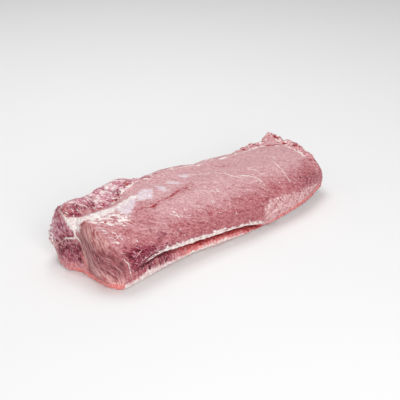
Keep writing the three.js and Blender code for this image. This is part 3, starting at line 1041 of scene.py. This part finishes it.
def bit_tree():
    """Geometry nodes that strew bits over a surface, as thickly as one of its layers says."""
    tree = shape_tree("strewn_bits", BIT_INPUTS)
    nodes = Recipe(tree)
    given = nodes.add("NodeGroupInput").outputs
    seed = given["Seed"]
    layer = nodes.add("GeometryNodeInputNamedAttribute", {"Name": given["Where"]}).outputs["Attribute"]
    density = nodes.math("MULTIPLY", layer, given["Per square metre"])
    points = nodes.add("GeometryNodeDistributePointsOnFaces",
                       {"Mesh": given["Geometry"], "Density": density, "Seed": seed})

    # One bit: a ball with its poles at its ends, bent to one side
    ball = nodes.add("GeometryNodeMeshUVSphere",
                     {"Segments": BIT_SIDES, "Rings": BIT_RINGS, "Radius": 0.5})
    long_ball = nodes.add("GeometryNodeTransform",
                          {"Geometry": ball.outputs["Mesh"], "Rotation": (0, math.pi / 2, 0)})
    position = nodes.add("GeometryNodeInputPosition").outputs["Position"]
    lengthwise = nodes.add("ShaderNodeSeparateXYZ", {"Vector": position}).outputs["X"]
    bow = nodes.math("MULTIPLY", nodes.math("POWER", lengthwise, 2.0), given["Bend"])
    offset = nodes.add("ShaderNodeCombineXYZ", {"Y": bow, "Z": nodes.math("MULTIPLY", bow, BIT_DROP)})
    bit = nodes.add("GeometryNodeSetPosition",
                    {"Geometry": long_ball.outputs["Geometry"], "Offset": offset.outputs["Vector"]})

    # Each bit stands on the surface, lies along the fibres, and turns a little and either way round
    upright = nodes.add("FunctionNodeAlignRotationToVector",
                        {"Vector": points.outputs["Normal"]}, axis="Z")
    lie = nodes.add("GeometryNodeInputNamedAttribute", {"Name": "lie"}, data_type="FLOAT_VECTOR")
    along = nodes.add("FunctionNodeAlignRotationToVector",
                      {"Rotation": upright.outputs["Rotation"], "Vector": lie.outputs["Attribute"]},
                      axis="X", pivot_axis="Z")
    flip = nodes.random("INT", 0, 1, nodes.math("ADD", seed, FLIP_SEED))
    spin = nodes.math("MULTIPLY", nodes.random("FLOAT", -1.0, 1.0, seed), given["Turn"])
    turn = nodes.math("ADD", nodes.math("MULTIPLY", flip, math.pi), spin)
    turned = nodes.add("FunctionNodeRotateRotation", {
        "Rotation": along.outputs["Rotation"],
        "Rotate By": nodes.add("ShaderNodeCombineXYZ", {"Z": turn}).outputs["Vector"],
    }, rotation_space="LOCAL")
    share = nodes.random("FLOAT_VECTOR", BIT_SMALLEST, BIT_LARGEST, seed)
    bits = nodes.add("GeometryNodeInstanceOnPoints", {
        "Points": points.outputs["Points"],
        "Instance": bit.outputs["Geometry"],
        "Rotation": turned.outputs["Rotation"],
        "Scale": nodes.vector_math("MULTIPLY", share, given["Size"]),
    })
    real = nodes.add("GeometryNodeRealizeInstances", {"Geometry": bits.outputs["Instances"]})
    smooth = nodes.add("GeometryNodeSetShadeSmooth", {"Geometry": real.outputs["Geometry"]})
    finished = nodes.add("GeometryNodeSetMaterial",
                         {"Geometry": smooth.outputs["Geometry"], "Material": given["Material"]})
    nodes.add("NodeGroupOutput", {"Geometry": finished.outputs["Geometry"]})
    return tree


def make_bits(loin, white_fat, pink_strand):
    """Loose bits: white flecks, partly fat and partly painted glints, blood flecks, shreds at the lip,
    strands, and tags at the torn rims.
    """
    torn_meat = bit_material("torn_meat", TORN_MEAT)
    blood_red = bit_material("blood_red", DEEP)
    # Piece, layer, bits to a square metre, size in millimetres, bend, turn, seed and material
    kinds = (
        ("fat_flecks", "flecks", 120000.0, (3.2, 1.1, 0.7), 2.5, 0.9, 1, white_fat),
        ("blood_specks", "specks", 100000.0, (3.0, 1.2, 0.5), 2.0, 0.9, 5, blood_red),
        ("lip_shreds", "shreds", 40000.0, (8.0, 1.0, 0.7), 2.2, 0.25, 2, white_fat),
        ("muscle_strands", "strands", 30000.0, (6.0, 0.8, 0.6), 5.0, 0.5, 3, pink_strand),
        ("torn_tags", "tags", 14000.0, (5.0, 2.6, 1.8), 1.2, 3.0, 4, torn_meat),
    )
    tree = bit_tree()
    pieces = []
    for name, layer, density, size, bend, turn, seed, material in kinds:
        values = {"Where": layer, "Per square metre": density, "Size": metres(*size), "Bend": bend,
                  "Turn": turn, "Seed": seed, "Material": material}
        pieces.append(shaped(new_piece(name, loin.data), tree, values))
    return pieces


FLOOR_HALF = 6.0
FLOOR_GREYS = (0.86, 0.86, 0.86, 1), (0.89, 0.89, 0.89, 1)
DAYLIGHT = 0.47


def make_floor():
    """A large pale floor."""
    material, nodes, places = new_material("pale_floor")
    cloud = nodes.noise(places, (0.3, 0.3, 0.3), 8.0)
    nodes.finish_material({"Base Color": nodes.mix(cloud, *FLOOR_GREYS), "Roughness": 0.9})
    half = FLOOR_HALF
    corners = [(-half, -half, 0), (half, -half, 0), (half, half, 0), (-half, half, 0)]
    mesh = bpy.data.meshes.new("floor")
    mesh.from_pydata(corners, [], [(0, 1, 2, 3)])
    mesh.materials.append(material)
    new_piece("floor", mesh)


def set_up(name, data, place, aim):
    """A light or a camera at a place, turned to its aim."""
    thing = new_piece(name, data)
    thing.location = place
    thing.rotation_euler = (Vector(aim) - Vector(place)).to_track_quat("-Z", "Y").to_euler()
    return thing


def make_light(name, place, aim, size, power):
    """A square softbox."""
    data = bpy.data.lights.new(name, "AREA")
    data.size = size
    data.energy = power
    set_up(name, data, place, aim)


def light_scene():
    """Even white light all round, and two softboxes."""
    world = bpy.data.worlds.new("studio")
    world.use_nodes = True
    background = world.node_tree.nodes["Background"]
    background.inputs["Color"].default_value = (1.0, 1.0, 1.0, 1.0)
    background.inputs["Strength"].default_value = DAYLIGHT
    scene = bpy.context.scene
    scene.world = world
    scene.view_settings.view_transform = "Standard"
    make_light("softbox_above", place=(0.1, 0.5, 1.7), aim=(0, 0, 0), size=1.0, power=14)
    make_light("softbox_front", place=(-0.6, -1.3, 0.8), aim=(0, 0, 0.03), size=0.9, power=12)


def make_camera():
    """The photograph's camera."""
    flat = math.cos(CAMERA_HEIGHT_ANGLE)
    height = math.sin(CAMERA_HEIGHT_ANGLE)
    away = np.array([-flat * math.sin(CAMERA_TURN), -flat * math.cos(CAMERA_TURN), height])
    data = bpy.data.cameras.new("camera")
    data.lens = LENS_MM
    data.sensor_width = SENSOR_MM
    data.sensor_fit = "HORIZONTAL"
    place = in_frame(AIM + CAMERA_DISTANCE * away)
    bpy.context.scene.camera = set_up("camera", data, place, in_frame(AIM))


make_camera()
light_scene()
make_floor()
loin = make_loin()
white_fat = bit_material("white_fat", FAT)
pink_strand = bit_material("pink_strand", STRAND)
threads = make_threads(loin, white_fat, pink_strand)
bits = make_bits(loin, white_fat, pink_strand)
for piece in [loin] + threads + bits:
    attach(piece, BODY)
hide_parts(NODE)
